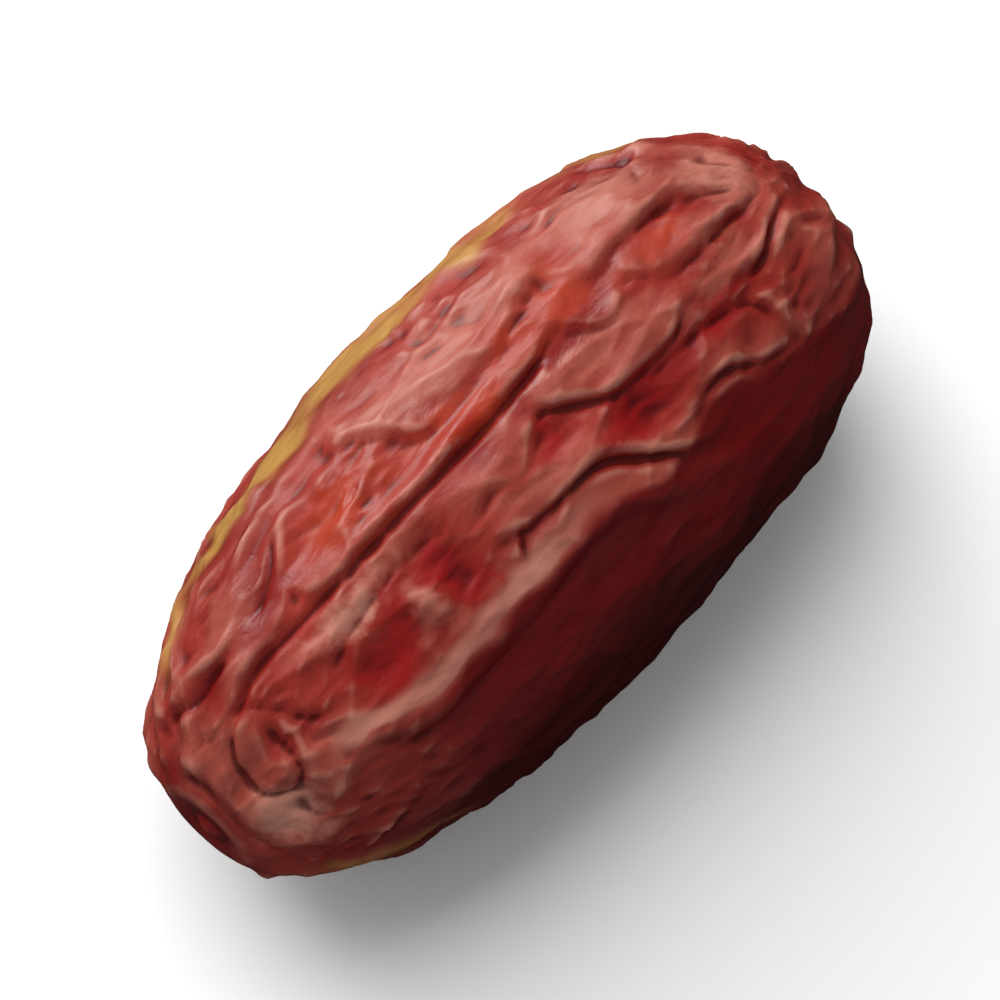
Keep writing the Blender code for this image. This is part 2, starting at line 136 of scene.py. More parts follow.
# Each fold of the photographed face: its height, how far it slopes off above and below its crest in the
# picture, and the points of the crest in the picture, all in millimetres
FACE_FOLDS = (
    (0.26, 1.8, 0.9, ((-15.6, 8.1), (-12.1, 8.1), (-9.2, 8.4), (-7.3, 8.8), (-4.2, 9.0), (-1.0, 9.0),
                      (2.0, 8.6))),
    (0.30, 1.2, 0.8, ((-21.0, 5.3), (-19.6, 5.6), (-18.1, 5.7), (-16.7, 5.5), (-15.0, 5.5), (-13.6, 5.6))),
    (0.35, 1.9, 0.7, ((-20.2, 3.2), (-19.0, 3.1), (-17.5, 3.3), (-16.2, 3.9), (-15.0, 4.1), (-12.9, 4.3),
                      (-11.6, 4.7), (-11.0, 5.2), (-10.2, 4.4), (-9.0, 4.0), (-7.1, 3.95), (-1.0, 3.95),
                      (4.0, 4.0), (6.9, 4.05), (8.0, 4.5), (9.4, 4.5), (10.25, 3.7), (11.2, 2.8),
                      (12.3, 2.9), (13.0, 3.7), (13.6, 4.4))),
    (0.34, 2.1, 0.9, ((-11.2, 5.0), (-10.6, 5.8), (-9.2, 7.0), (-8.3, 7.6), (-6.5, 8.1))),
    (0.46, 3.8, 1.0, ((-4.8, 8.4), (-2.6, 8.0), (-1.0, 7.0), (0.0, 5.9), (1.1, 5.6), (3.2, 5.8), (6.7, 6.1),
                      (8.4, 6.6), (10.2, 7.0), (11.5, 6.1), (12.7, 5.3), (15.7, 5.2), (17.7, 5.3),
                      (19.0, 5.0), (20.5, 3.8), (21.5, 2.7), (22.6, 1.7))),
    (0.38, 1.8, 0.7, ((13.2, 4.6), (14.4, 3.4), (15.5, 2.7), (16.9, 2.45), (19.8, 2.4), (22.4, 2.1))),
    (0.50, 3.0, 0.9, ((4.6, 2.3), (5.7, 2.2), (6.9, 1.3), (8.4, 0.5), (9.8, 0.0), (11.5, -0.1), (13.4, 0.0),
                      (14.4, 0.7), (15.7, 1.6))),
    (0.34, 1.7, 0.8, ((-3.6, 1.9), (-2.9, 0.8), (-1.9, 0.5), (-0.2, 1.2), (0.9, 1.0), (2.1, 0.4),
                      (3.2, 1.1), (4.2, 1.8), (5.2, 2.3))),
    (0.50, 2.4, 0.8, ((-1.6, -0.3), (-0.6, -1.0), (0.3, -1.3), (1.7, -1.6), (4.2, -1.6), (5.3, -1.6),
                      (6.4, -1.9), (7.4, -2.9), (8.3, -3.8), (9.8, -4.7), (11.4, -5.3))),
    (0.58, 3.2, 1.1, ((-18.0, -3.8), (-16.7, -3.5), (-15.2, -3.0), (-13.3, -3.1), (-12.1, -3.9),
                      (-10.4, -4.5), (-7.1, -4.7), (-4.2, -4.5), (-1.5, -4.5), (1.1, -4.2), (3.2, -4.2),
                      (4.8, -4.3), (5.9, -5.1), (6.9, -5.9), (8.4, -6.5))),
    (0.36, 1.0, 0.8, ((3.4, -8.2), (5.2, -7.4), (7.3, -6.8), (9.6, -6.6), (11.6, -6.9))),
    (0.40, 2.0, 0.8, ((9.6, -3.9), (10.6, -3.5), (11.6, -3.2), (13.2, -3.0), (14.4, -3.3), (15.7, -4.1),
                      (17.8, -4.5))),
    (0.30, 1.0, 0.7, ((17.9, -1.2), (18.1, -2.4), (18.2, -3.9), (18.7, -6.0))),
    (0.32, 1.2, 0.6, ((18.6, -0.7), (19.8, -0.3), (21.5, 0.5), (22.8, 1.2))),
    (0.32, 1.0, 0.6, ((19.4, -1.6), (21.1, -0.6), (22.5, -0.4), (23.6, -1.1), (23.9, -2.4))),
    (0.24, 0.6, 0.5, ((20.0, -4.8), (21.5, -4.4), (23.2, -3.9))),
    (0.28, 1.7, 0.9, ((3.4, 8.4), (4.4, 9.2), (5.9, 10.1), (7.6, 10.1), (9.4, 9.4), (10.2, 8.2),
                      (11.0, 7.2))),
    (0.22, 0.8, 0.7, ((1.2, 9.3), (2.4, 8.9), (3.6, 8.1), (5.4, 7.9))),
    (0.30, 1.7, 1.0, ((11.4, 10.2), (13.5, 10.3), (16.0, 9.3), (18.5, 8.2), (20.3, 6.8), (21.8, 5.2),
                      (22.6, 2.6))),
    (0.22, 0.8, 0.7, ((12.0, 8.6), (14.4, 8.6), (16.4, 7.8), (18.0, 6.6))),
    (0.30, 1.5, 0.9, ((-21.2, 3.6), (-21.3, 1.0), (-21.2, -1.6), (-20.6, -3.4), (-19.6, -4.2))),
    (0.28, 0.8, 0.7, ((-16.6, 2.2), (-16.2, 0.6), (-16.4, -1.0), (-17.4, -2.6), (-18.6, -3.0))),
    (0.24, 1.4, 0.9, ((-18.4, -6.4), (-15.6, -7.3), (-12.4, -8.2), (-9.5, -8.6), (-5.5, -8.4))),
    (0.16, 1.6, 1.2, ((-6.8, 0.9), (-6.4, -0.6), (-5.4, -2.0), (-3.9, -3.2))),
)

# Each crease: its depth, how far it slopes off above and below, and its points
FACE_CREASES = (
    (0.22, 1.0, 0.9, ((-14.4, 7.4), (-11.4, 7.6), (-9.0, 7.9), (-6.0, 8.3), (-2.8, 8.3))),
    (0.30, 0.4, 0.5, ((-13.8, 5.2), (-12.6, 5.7), (-11.3, 6.2), (-10.2, 6.9), (-9.0, 7.9))),
    (0.30, 0.4, 0.5, ((-18.6, 2.6), (-17.1, 2.9), (-16.0, 3.3), (-14.4, 3.6), (-11.7, 3.5), (-7.3, 3.4),
                      (-1.0, 3.4), (4.0, 3.4), (7.2, 3.6), (8.4, 3.9))),
    (0.26, 0.7, 0.6, ((-21.6, 5.0), (-20.0, 5.0), (-18.8, 4.7), (-17.0, 4.9), (-14.6, 4.9))),
    (0.16, 0.9, 1.2, ((-6.5, 5.1), (-3.0, 5.0), (1.0, 4.9), (5.0, 5.0), (7.6, 5.3))),
    (0.26, 0.6, 0.5, ((12.7, 4.8), (14.2, 4.9), (16.5, 4.8), (19.0, 4.4))),
    (0.26, 0.4, 0.5, ((14.8, 2.1), (15.7, 1.8), (17.3, 1.65), (19.8, 1.75), (22.5, 1.6))),
    (0.33, 0.4, 0.5, ((4.2, 1.2), (5.2, 1.6), (6.2, 1.2), (7.4, 0.4), (8.9, -0.4), (11.0, -0.6),
                      (13.2, -0.5), (14.8, 0.5))),
    (0.35, 0.4, 0.5, ((-1.3, -3.9), (-0.9, -2.7), (-0.2, -1.8), (0.3, -1.9), (2.1, -2.0), (4.2, -2.05),
                      (5.9, -2.5), (7.2, -3.6), (9.3, -5.0))),
    (0.24, 0.4, 0.5, ((-13.6, -4.4), (-10.5, -5.2), (-7.0, -5.4), (-3.0, -5.3), (1.5, -4.9), (4.4, -4.9))),
    (0.30, 0.5, 0.6, ((10.4, -4.2), (12.5, -3.6), (14.2, -3.7), (15.6, -4.7), (18.0, -5.0))),
    (0.30, 0.6, 0.5, ((10.2, -0.9), (11.3, -1.1), (13.6, -1.2), (15.2, -1.3), (16.7, -1.7), (17.7, -2.4),
                      (17.8, -4.4))),
    (0.30, 0.5, 0.5, ((17.6, -1.3), (19.4, -1.0), (20.6, -0.4), (21.9, 0.4), (23.2, 0.4))),
    (0.30, 0.6, 0.5, ((-22.0, 3.2), (-21.9, 0.5), (-22.0, -1.6), (-21.3, -4.6))),
    (0.26, 0.4, 0.5, ((-17.6, 2.5), (-18.7, 2.2), (-19.7, 1.1), (-20.0, -0.3), (-19.4, -1.4), (-18.3, -2.0),
                      (-17.2, -1.3), (-17.2, 0.5), (-17.3, 2.2))),
    (0.26, 0.4, 0.5, ((-17.4, 2.9), (-16.2, 1.8), (-15.6, 0.5), (-14.6, -0.5), (-13.0, -0.6))),
    (0.26, 1.0, 0.9, ((14.4, 10.4), (16.5, 9.0), (18.8, 7.6), (20.4, 6.2))),
    (0.22, 0.5, 0.5, ((1.8, 7.6), (3.2, 8.0), (5.2, 7.7))),
    (0.22, 0.5, 0.5, ((12.3, 8.1), (13.6, 8.4), (15.0, 8.1))),
    (0.22, 0.5, 0.5, ((-17.0, -4.5), (-16.2, -5.0), (-15.2, -5.3))),
    (0.22, 0.5, 0.5, ((-18.6, -2.0), (-18.8, -3.4), (-18.0, -4.4))),
    (0.26, 0.7, 0.9, ((-13.2, 0.4), (-10.4, 1.2), (-7.3, 1.6), (-3.5, 1.5), (-2.6, 0.3))),
    (0.22, 0.5, 0.5, ((19.4, -2.4), (20.6, -2.3), (22.0, -1.6))),
)

# Each hollow: depth, place along and across, and half sizes, in millimetres
FACE_HOLLOWS = (
    (0.60, -10.0, -0.9, 2.6, 1.3),
    (0.50, -4.0, -0.6, 1.6, 1.5),
    (0.50, 9.2, -1.9, 2.2, 1.3),
    (0.35, 5.3, 0.4, 1.6, 0.9),
    (0.35, -7.5, 6.3, 3.0, 1.0),
    (0.35, 3.0, -6.8, 3.2, 1.1),
    (-0.30, -6.2, -0.9, 1.0, 1.2),
    (-0.35, 22.0, -2.6, 2.2, 2.4),
)

NET_CELLS = 210
NET_HEIGHT = 0.45 * MM
NET_REACH = 2.2 * MM
NET_STRETCH = np.array((2.4, 1.0, 1.0))
NET_BEND = 0.8 * MM
NET_BEND_LENGTH = 4.0 * MM
NOISE_GAIN = 1.6
WAVE_HEIGHT = 0.20 * MM
WAVE_SHARPNESS = 2.2
WAVE_LENGTHS = np.array((8.5, 3.0, 3.0)) * MM
WAVER = 1.3 * MM
WAVER_LENGTH = 7.0 * MM
PUCKERS = 11
PUCKER_HEIGHT = 0.30 * MM
NOISE_SEED = 7
SCAR_RADIUS = 2.5 * MM
SCAR_DEPTH = 0.45 * MM
SCAR_RIM = 0.22 * MM
SCAR_NUB = 0.35 * MM


def smoothstep(low, high, value):
    """0 below low, 1 above high, and an S-shaped rise between."""
    share = np.clip((value - low) / (high - low), 0.0, 1.0)
    return share * share * (3.0 - 2.0 * share)


def wrapped(turn):
    """An angle brought to between half a turn back and half a turn on."""
    return (turn + math.pi) % (2 * math.pi) - math.pi


def gradient_noise(points, seed):
    """Smooth noise of about -1 to 1: at each corner of a unit lattice a random direction is dotted with
    the way to the point, and the eight results are blended."""
    draw = np.random.default_rng(seed)
    order = draw.permutation(256)
    directions = draw.normal(size=(256, 3))
    directions /= np.linalg.norm(directions, axis=1, keepdims=True)
    cell = np.floor(points).astype(int)
    inside = points - cell
    blend = inside ** 3 * (inside * (inside * 6.0 - 15.0) + 10.0)
    total = np.zeros(points.shape[:-1])
    for corner in np.ndindex(2, 2, 2):
        spot = cell + corner
        pick = order[(order[(order[spot[..., 0] % 256] + spot[..., 1]) % 256] + spot[..., 2]) % 256]
        weight = np.prod(np.where(np.array(corner) == 1, blend, 1.0 - blend), axis=-1)
        total += weight * np.sum(directions[pick] * (inside - corner), axis=-1)
    return total * NOISE_GAIN


def smooth_line(points):
    """A Catmull-Rom curve through points, with a few steps in each span."""
    ends = np.concatenate((2 * points[:1] - points[1:2], points, 2 * points[-1:] - points[-2:-1]))
    t = np.linspace(0.0, 1.0, SPAN_STEPS, endpoint=False)[:, None, None]
    a, b, c, d = ends[:-3], ends[1:-2], ends[2:-1], ends[3:]
    spans = b + 0.5 * ((c - a) * t + (2 * a - 5 * b + 4 * c - d) * t ** 2 + (3 * b - a - 3 * c + d) * t ** 3)
    return np.concatenate((spans.swapaxes(0, 1).reshape(-1, 2), points[-1:]))


def on_skin(points, face_turn):
    """Points of the picture, in millimetres along and across the fruit, as (distance run, angle). The
    picture is taken with the stem end leaning nearer by LEAN, so a point at a height h over the middle
    shows tan(LEAN) * h further along. The first place on the outline that shows far enough is taken, and
    the angle is the arc sine of the distance across over the radius there."""
    along, across = np.array(points).T[:, :, None] * MM
    height = np.sqrt(np.maximum(RADIUS ** 2 - across ** 2, 0.0))
    shown = ALONG + math.tan(LEAN) * height
    place = np.argmax(shown >= np.minimum(along, shown.max(axis=1, keepdims=True)), axis=1)
    radius = np.maximum(RADIUS[place], 0.2 * MM)
    angle = face_turn - np.arcsin(np.clip(across[:, 0] / radius, -0.99, 0.99))
    return np.stack((RUN[place], angle), axis=1)


def line_shape(run, angle, line, above, below, powers):
    """1 on a line over the skin, falling off as (1 - distance / reach) ^ power, with one reach and power
    above the line and another below it, rounded at the crest, and fading out towards both ends."""
    radius = np.interp(run, RUN, RADIUS)
    nearest = np.full(run.shape, np.inf)
    reached = np.zeros(run.shape)
    over = np.zeros(run.shape, bool)
    done = 0.0
    for start, end in zip(line[:-1], line[1:]):
        step_run = end[0] - start[0]
        step_side = (end[1] - start[1]) * radius
        off_run = run - start[0]
        off_side = wrapped(angle - start[1]) * radius
        share = (off_run * step_run + off_side * step_side) / (step_run ** 2 + step_side ** 2 + 1e-14)
        share = np.clip(share, 0.0, 1.0)
        gap = np.hypot(off_run - share * step_run, off_side - share * step_side)
        closer = gap < nearest
        length = math.hypot(step_run, (end[1] - start[1]) * np.interp(start[0], RUN, RADIUS))
        reached = np.where(closer, done + share * length, reached)
        over = np.where(closer, off_side * step_run < off_run * step_side, over)
        nearest = np.minimum(nearest, gap)
        done += length
    fade = min(FOLD_FADE, 0.45 * done)
    ends = smoothstep(0.0, fade, reached) * smoothstep(0.0, fade, done - reached)
    rounded = np.hypot(nearest, CREST_ROUNDING) - CREST_ROUNDING
    share = np.clip(1.0 - rounded / np.where(over, above, below), 0.0, 1.0)
    return ends * share ** np.where(over, *powers)


def highest_of(run, angle, lines, powers, face_turn):
    """The lines' shapes joined by a soft maximum, the fourth root of the sum of fourth powers."""
    total = np.zeros(run.shape)
    for height, above, below, points in lines:
        line = smooth_line(on_skin(points, face_turn))
        total += (height * line_shape(run, angle, line, above * MM, below * MM, powers)) ** 4
    return total ** 0.25


def face_relief(run, angle, face_turn):
    """Folds less creases less hollows on one side of the fruit, in metres. Noise makes the folds and
    creases uneven, and a hollow is a bell curve."""
    folds = highest_of(run, angle, FACE_FOLDS, FOLD_POWERS, face_turn)
    creases = highest_of(run, angle, FACE_CREASES, CREASE_POWERS, face_turn)
    swing = gradient_noise(body_point(run, angle) / UNEVEN_LENGTH, NOISE_SEED + 3)
    height = (folds - creases) * (UNEVEN_MEAN + UNEVEN_SWING * swing)
    radius = np.interp(run, RUN, RADIUS)
    for depth, along, across, half_length, half_width in FACE_HOLLOWS:
        (middle_run, middle_angle), = on_skin(((along, across),), face_turn)
        side = wrapped(angle - middle_angle) * radius
        off = np.hypot((run - middle_run) / (half_length * MM), side / (half_width * MM))
        height = height - depth * np.exp(-off ** 2)
    return height * MM


def fold_net(run, angle, seed):
    """A net of low folds round cells drawn out along the fruit, 1 on the folds and 0 in the cells. Cell
    centres are scattered over the body, and a fold runs where the two nearest are equally far: it is
    (1 - (second distance - first distance) / NET_REACH) ^ NET_POWER."""
    draw = np.random.default_rng(seed)
    centre_run = RUN_LENGTH * draw.uniform(0.01, 0.99, NET_CELLS)
    centres = body_point(centre_run, draw.uniform(-math.pi, math.pi, NET_CELLS)) / NET_STRETCH
    body = body_point(run, angle)
    bend = np.stack([gradient_noise(body / NET_BEND_LENGTH, seed + step) for step in (1, 2, 3)], axis=-1)
    body = (body + NET_BEND * bend) / NET_STRETCH
    first = np.full(run.shape, np.inf)
    second = np.full(run.shape, np.inf)
    for centre in centres:
        distance = np.sqrt(np.sum((body - centre) ** 2, axis=-1))
        second = np.minimum(second, np.maximum(first, distance))
        first = np.minimum(first, distance)
    return np.clip(1.0 - (second - first) / NET_REACH, 0.0, 1.0) ** NET_POWER


def relief(run, angle):
    """How far the dried skin stands out of the body, in metres: the folds of the face, the same bent out
    of true on two more sides, one the other way round and one mirrored, a net of lower folds between them,
    ridged noise drawn out along the fruit, puckers round both ends, and the scar. The net, the noise and
    the puckers are lower on the face, and all are lower where the fruit is pressed on what it lies on."""
    body = body_point(run, angle)
    waver = WAVER * gradient_noise(body / WAVER_LENGTH, NOISE_SEED)
    waver_side = WAVER * gradient_noise(body / WAVER_LENGTH, NOISE_SEED + 1)
    radius = np.maximum(np.interp(run, RUN, RADIUS), 2.0 * MM)
    face = face_relief(run, angle, FACE_TURN)
    turned = face_relief(RUN_LENGTH - (run + 2.0 * waver), angle + 2.0 * waver_side / radius,
                         FACE_TURN + SIDE_TURN)
    mirrored = face_relief(run + 2.0 * waver_side, -(angle + 2.0 * waver / radius), SIDE_TURN - FACE_TURN)
    share = run / RUN_LENGTH
    middle = smoothstep(0.05, 0.18, share) * smoothstep(0.05, 0.18, 1.0 - share)

    facing = np.cos(angle - FACE_TURN)
    away = FACE_NET_SHARE + (1.0 - FACE_NET_SHARE) * smoothstep(0.15, -0.45, facing)
    ridges = np.abs(gradient_noise((body + waver[..., None]) / WAVE_LENGTHS, NOISE_SEED + 2))
    waves = WAVE_HEIGHT * (1.0 - WAVE_SHARPNESS * ridges) * away
    net = fold_net(run, angle, NOISE_SEED + 10)

    from_tip = RUN_LENGTH - run
    near_end = np.minimum(run, from_tip)
    gathered = smoothstep(2.0 * MM, 4.5 * MM, near_end) * smoothstep(13.0 * MM, 6.0 * MM, near_end)
    puckers = PUCKER_HEIGHT * np.cos(PUCKERS * angle + 2.2 * waver / MM) * gathered * away

    pit = -SCAR_DEPTH * smoothstep(SCAR_RADIUS, 0.4 * SCAR_RADIUS, run)
    rim = SCAR_RIM * np.exp(-((run - 1.15 * SCAR_RADIUS) / (0.25 * SCAR_RADIUS)) ** 2)
    nub = SCAR_NUB * np.exp(-(run / (0.3 * SCAR_RADIUS)) ** 2)
    skin = smoothstep(SCAR_RADIUS, 2.0 * SCAR_RADIUS, run) * smoothstep(0.0, 2.5 * MM, from_tip)
    pressed = 1.0 - PRESSED_SHARE * smoothstep(0.90, 0.99, -np.cos(angle)) * middle
    sides = SIDE_FOLDS_SHARE * (turned + mirrored) * middle
    height = (face + sides + waves + NET_HEIGHT * net * away + puckers) * skin * pressed
    return height + pit + rim + nub


# The skin of the fruit
# One closed surface, flesh and skin grown as one piece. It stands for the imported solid, on a much finer
# net of rings round the fruit, with the smallest wrinkles added.
RINGS = 245
SIDES = 400
FACE_SHARE = 0.25
RAISED_HEIGHT = 0.50 * MM
BEND_HEIGHT = 0.12 * MM
FINE_HEIGHT = 0.14 * MM
FINE_SHARPNESS = 2.4
FINE_LENGTHS = np.array((2.6, 1.1, 1.1)) * MM
FINE_BEND = 0.35 * MM
FINE_BEND_LENGTH = 2.5 * MM
FINE_CLUMP_LENGTH = 6.0 * MM


def fine_relief(run, angle):
    """The smallest wrinkles: ridged noise, 1 - FINE_SHARPNESS * |noise|, drawn out along the fruit,
    stronger in clumps and fading out at the scar."""
    body = body_point(run, angle)
    bend = FINE_BEND * gradient_noise(body / FINE_BEND_LENGTH, NOISE_SEED + 5)
    ridges = np.abs(gradient_noise((body + bend[..., None]) / FINE_LENGTHS, NOISE_SEED + 6))
    clumps = 0.35 + 0.65 * smoothstep(-0.2, 0.5, gradient_noise(body / FINE_CLUMP_LENGTH, NOISE_SEED + 7))
    clear_of_scar = smoothstep(SCAR_RADIUS, 2.0 * SCAR_RADIUS, run)
    return FINE_HEIGHT * (1.0 - FINE_SHARPNESS * ridges) * clumps * clear_of_scar


def fold_bend(height):
    """How sharply the skin bends, over 0 on a crest and under 0 in a crease: the height less the mean of
    the heights two and four places off on the net, over BEND_HEIGHT."""
    padded = np.pad(height, ((4, 4), (0, 0)), mode="edge")
    around = np.zeros(height.shape)
    for off in (2, 4):
        around += padded[4 - off:len(padded) - 4 - off] + padded[4 + off:len(padded) - 4 + off]
        around += np.roll(height, off, axis=1) + np.roll(height, -off, axis=1)
    return (height - around / 8) / BEND_HEIGHT


def grid_mesh(name, points):
    """A closed mesh from rings of points: quads between rings, and a fan of triangles at each pole."""
    rings, sides = points.shape[:2]
    index = np.arange(rings * sides).reshape(rings, sides)
    beside = np.roll(index, -1, axis=1)
    quads = np.stack((index[:-1], beside[:-1], beside[1:], index[1:]), axis=-1).reshape(-1, 4)
    first, last = rings * sides, rings * sides + 1
    low_fan = np.stack((beside[0], index[0], np.full(sides, first)), axis=-1)
    high_fan = np.stack((index[-1], beside[-1], np.full(sides, last)), axis=-1)
    poles = np.stack((points[0].mean(axis=0), points[-1].mean(axis=0)))
    mesh = bpy.data.meshes.new(name)
    mesh.from_pydata(
        np.concatenate((points.reshape(-1, 3), poles)).tolist(), [],
        quads.tolist() + low_fan.tolist() + high_fan.tolist(),
    )
    mesh.shade_smooth()
    return mesh


# The rings are evenly apart. The points of a ring are closer together on the face than behind it.
ring_run = RUN_LENGTH * (np.arange(RINGS) + 0.5) / RINGS
even = -2 * math.pi * np.arange(SIDES) / SIDES
side_angle = even - FACE_SHARE * np.sin(even) + FACE_TURN
run, angle = np.meshgrid(ring_run, side_angle, indexing="ij")
height = relief(run, angle)
raised = height / RAISED_HEIGHT
height += fine_relief(run, angle)
bend = fold_bend(height)
points = body_point(run, angle) + height[..., None] * body_normal(run, angle)

# The fruit is centred, and its own weight presses its lowest folds flat, to a depth of SETTLED.
middle = (points.min(axis=(0, 1)) + points.max(axis=(0, 1))) / 2
settled_by = -middle
settled_by[2] = -points[..., 2].min() - SETTLED
points += settled_by
points[..., 2] = np.maximum(points[..., 2], 0.0)

# Where the lit side of the face ends and the painted shade of the lower side begins, in the picture
DARK_EDGE = (
    (-23.6, -2.4), (-21.3, -6.0), (-18.0, -4.8), (-15.2, -2.7), (-13.3, -2.7), (-12.1, -3.4), (-10.4, -3.9),
    (-7.1, -4.1), (-4.2, -4.0), (-1.5, -3.9), (1.1, -3.7), (4.8, -3.8), (5.9, -4.5), (6.9, -5.0), (8.6, -5.0),
    (10.0, -4.4), (11.5, -4.2), (14.0, -4.3), (17.8, -5.2), (21.0, -5.2), (23.4, -4.2),
)

# The noise that makes the edges of the painted shade, the highlight band and the rims waver, by how many
# millimetres, and that of the blotches
EDGE_WAVER = 0.5
EDGE_WAVER_LENGTH = 2.2 * MM
BLOTCH_LENGTH = 3.5 * MM

# The painted shade is weaker towards the stem end: the places along the fruit, in millimetres from its
# middle, where it is weakest and full, and how much of it and of its deepest part is left there
WEAKER_SHADE_AT_STEM = (-19.0, -8.0)
STEM_END_SHADE = 0.25
STEM_END_DEEP = 0.5

# Where each of these masks rises or falls, or rises and then falls: by distance below the dark edge or, for
# LENGTH, from the stem end, in millimetres, and by turn, in degrees, from the dark edge for the painted
# shade and from the middle of the face for the rest
SHADE_BELOW = (-0.3, 0.6)
DEEP_BELOW = (3.0, 8.5)
SHADE_ENDS_BELOW = (22.0, 15.0)
SHADE_ENDS_TURN = (175.0, 125.0)
BAND_BELOW = (-1.6, -0.7), (0.1, -0.3)
BAND_LENGTH = (9.0, 13.0), (32.0, 25.0)
RIM_TURN = (63.0, 76.0), (97.0, 82.0)
RIM_LENGTH = (6.0, 11.0), (46.0, 36.0)
LOW_RIM_TURN = (72.0, 82.0), (100.0, 90.0)
LOW_RIM_LENGTH = (5.0, 8.0), (18.0, 12.0)
LOW_RIM_STRENGTH = 0.45
FAR_SIDE_TURN = (88.0, 125.0)
FAR_SIDE_STRENGTH = 0.5

# How the blotches vary the painted highlight band and break up the rims, and how many degrees the noise
# pushes the edges of the rims and of the far side
BAND_MEAN = 0.8
BAND_SWING = 0.4
RIM_BLOTCHES = (-0.8, 0.3)
RIM_WAVER, RIM_BLOTCH = 16.0, 6.0
LOW_RIM_WAVER, LOW_RIM_BLOTCH = 12.0, 4.0
FAR_SIDE_BLOTCH = 12.0


def rise_and_fall(value, rise, fall):
    """0 to 1 over the first pair of values and back to 0 over the second, S-shaped both ways."""
    return smoothstep(*rise, value) * smoothstep(*fall, value)


def painted_light_and_shade(run, angle):
    """The painted light and shade of the skin as masks from 0 to 1, with noise to break up their edges: the
    painted shade of the lower side, also darkening the far side, the darkest part of that shade, the
    painted highlight band over its edge, and the amber rims of thin skin with painted glow through them."""
    body = body_point(run, angle)
    waver = EDGE_WAVER * gradient_noise(body / EDGE_WAVER_LENGTH, NOISE_SEED + 8)
    blotches = gradient_noise(body / BLOTCH_LENGTH, NOISE_SEED + 9)
    broken = smoothstep(*RIM_BLOTCHES, blotches)
    tipward = smoothstep(*WEAKER_SHADE_AT_STEM, np.interp(run, RUN, ALONG) / MM)
    from_stem = run / MM

    edge_run, edge_angle = on_skin(DARK_EDGE, FACE_TURN).T
    edge_angle = np.interp(run, np.maximum.accumulate(edge_run), edge_angle)
    turned_from = wrapped(angle - edge_angle)
    below = turned_from * np.interp(run, RUN, RADIUS) / MM + waver
    reaching = smoothstep(*SHADE_ENDS_BELOW, below) * smoothstep(*SHADE_ENDS_TURN, np.degrees(turned_from))
    shade = smoothstep(*SHADE_BELOW, below) * reaching * (STEM_END_SHADE + (1.0 - STEM_END_SHADE) * tipward)
    deep = smoothstep(*DEEP_BELOW, below) * reaching * (STEM_END_DEEP + (1.0 - STEM_END_DEEP) * tipward)
    band = rise_and_fall(below, *BAND_BELOW) * rise_and_fall(from_stem, *BAND_LENGTH)
    band *= BAND_MEAN + BAND_SWING * blotches

    turn = np.degrees(angle - FACE_TURN) % 360.0
    beyond = 360.0 - turn + RIM_WAVER * waver + RIM_BLOTCH * blotches
    rim = rise_and_fall(beyond, *RIM_TURN) * rise_and_fall(from_stem, *RIM_LENGTH) * broken
    beneath = turn + LOW_RIM_WAVER * waver + LOW_RIM_BLOTCH * blotches
    low_rim = rise_and_fall(beneath, *LOW_RIM_TURN) * rise_and_fall(from_stem, *LOW_RIM_LENGTH) * broken
    from_face = np.degrees(np.abs(wrapped(angle - FACE_TURN))) + FAR_SIDE_BLOTCH * blotches
    far_side = smoothstep(*FAR_SIDE_TURN, from_face)
    return {
        "shade": np.maximum(shade, FAR_SIDE_STRENGTH * far_side),
        "deep": deep,
        "band": band,
        "rim": np.maximum(rim, LOW_RIM_STRENGTH * low_rim),
    }


mesh = grid_mesh("skin", points)
for name, values in {"bend": bend, "raised": raised, **painted_light_and_shade(run, angle)}.items():
    attribute = mesh.attributes.new(name, "FLOAT", "POINT")
    attribute.data.foreach_set("value", np.concatenate((values.ravel(), (0.0, 0.0))))
skin = bpy.data.objects.new("skin", mesh)
bpy.context.scene.collection.objects.link(skin)


def add(tree, kind, values=(), **settings):
    """A shader node with its settings and inputs. An input given a socket is linked to it."""
    node = tree.nodes.new("ShaderNode" + kind)
    for name, value in settings.items():
        setattr(node, name, value)
    for key, value in dict(values).items():
        if isinstance(value, bpy.types.NodeSocket):
            tree.links.new(value, node.inputs[key])
        else:
            node.inputs[key].default_value = value
    return node


def new_group(name, inputs, outputs):
    """A shader node group: inputs are (name, kind, value), outputs are (name, kind)."""
    group = bpy.data.node_groups.new(name, "ShaderNodeTree")
    for label, kind, value in inputs:
        socket = group.interface.new_socket(label, in_out="INPUT", socket_type="NodeSocket" + kind)
        socket.default_value = value
    for label, kind in outputs:
        group.interface.new_socket(label, in_out="OUTPUT", socket_type="NodeSocket" + kind)
    return group, group.nodes.new("NodeGroupInput").outputs, group.nodes.new("NodeGroupOutput").inputs


def patch_group():
    """A mask that is 1 inside an ellipsoid and falls smoothly to 0 at its edge, by the length of
    (place - centre) / half size."""
    group, given, result = new_group(
        "Patch",
        (("Place", "Vector", (0.0, 0.0, 0.0)), ("Centre", "Vector", (0.0, 0.0, 0.0)),
         ("Half Size", "Vector", (0.01, 0.01, 0.01)), ("Softness", "Float", 0.75)),
        (("Mask", "Float"),),
    )
    off = add(group, "VectorMath", {0: given["Place"], 1: given["Centre"]}, operation="SUBTRACT")
    share = add(group, "VectorMath", {0: off.outputs[0], 1: given["Half Size"]}, operation="DIVIDE")
    length = add(group, "VectorMath", {0: share.outputs[0]}, operation="LENGTH")
    inner = add(group, "Math", {0: 1.0, 1: given["Softness"]}, operation="SUBTRACT")
    mask = add(group, "MapRange", {"Value": length.outputs["Value"], "From Min": 1.0,
                                   "From Max": inner.outputs[0]}, interpolation_type="SMOOTHSTEP")
    group.links.new(mask.outputs["Result"], result["Mask"])
    return group


